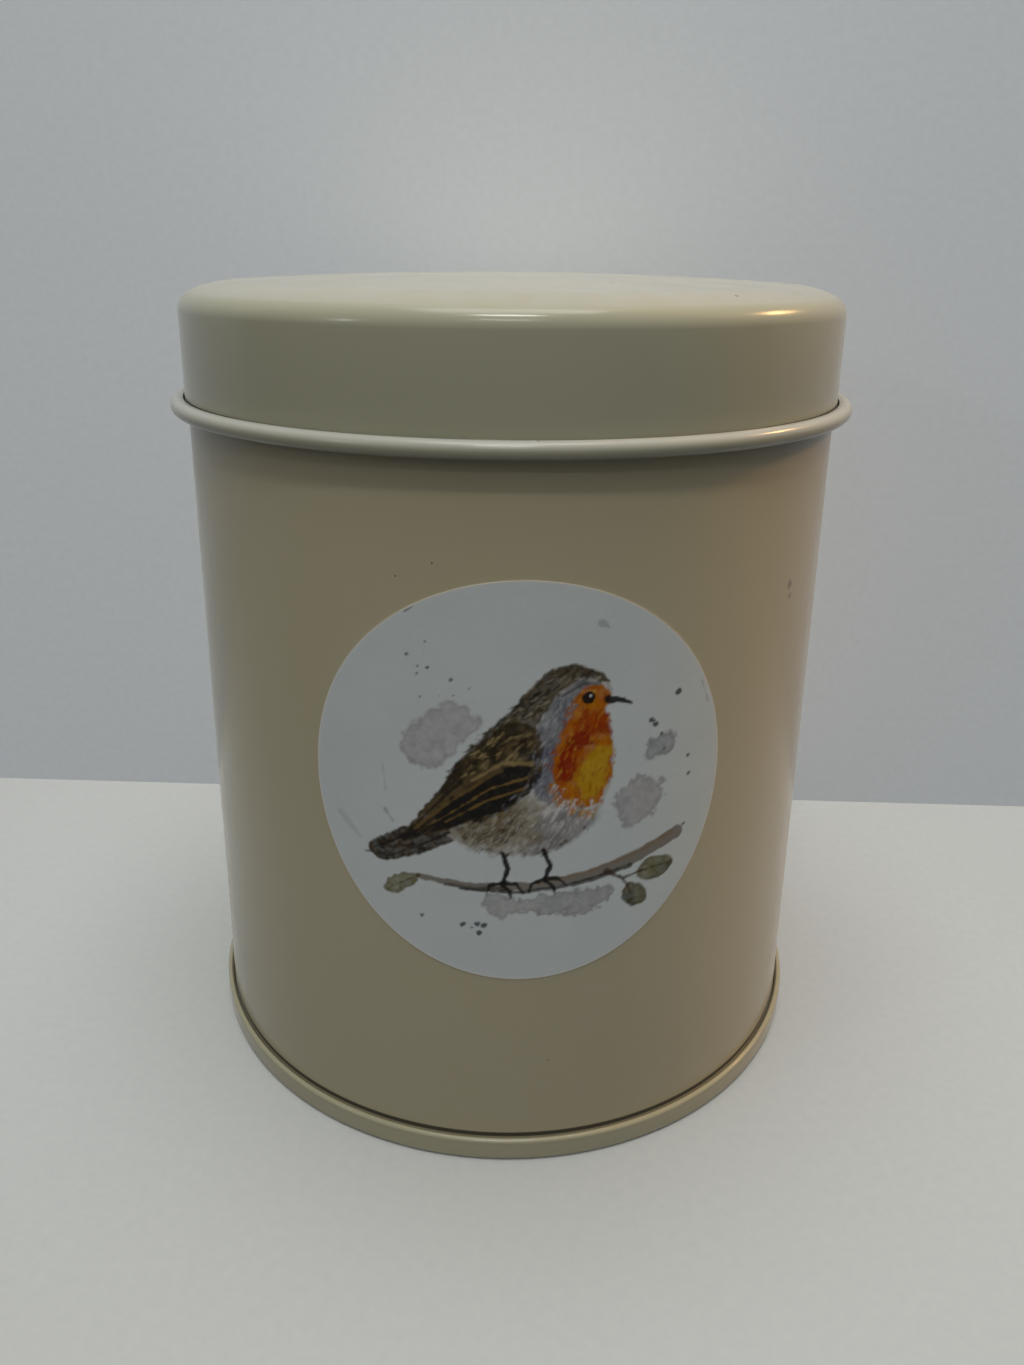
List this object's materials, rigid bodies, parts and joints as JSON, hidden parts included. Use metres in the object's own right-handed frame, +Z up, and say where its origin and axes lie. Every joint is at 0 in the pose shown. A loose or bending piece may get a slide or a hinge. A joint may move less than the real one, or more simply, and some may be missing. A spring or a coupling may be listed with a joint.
{
  "type": "slip-lid coffee tin",
  "caption": "Round enamelled tinplate coffee canister with a lift-off slip lid, a double-seamed base and a round picture label.",
  "frame": {"origin": "centre of the circle that the tin stands on, at the height of its resting rim", "axes": "+Z up the axis of the tin, -Y out of the front where the picture label is, +Y out of the back where the side seam is"},
  "size_m": [0.1046, 0.1046, 0.1222],
  "materials": {
    "body_enamel": "satin",
    "base_enamel": "satin",
    "sealing_rubber": "matte",
    "lid_enamel": "satin",
    "label_paper": "matte"
  },
  "bodies": {
    "canister": {"body_shell": "body_enamel", "base_panel": "base_enamel", "seam_compound": "sealing_rubber", "picture_label": "label_paper"},
    "lid": {"lid": "lid_enamel"}
  },
  "joints": [
    {"name": "lid_lift", "type": "slide", "parent": "canister", "child": "lid", "axis": [0, 0, 1], "range_m": [0, 0.06]}
  ]
}
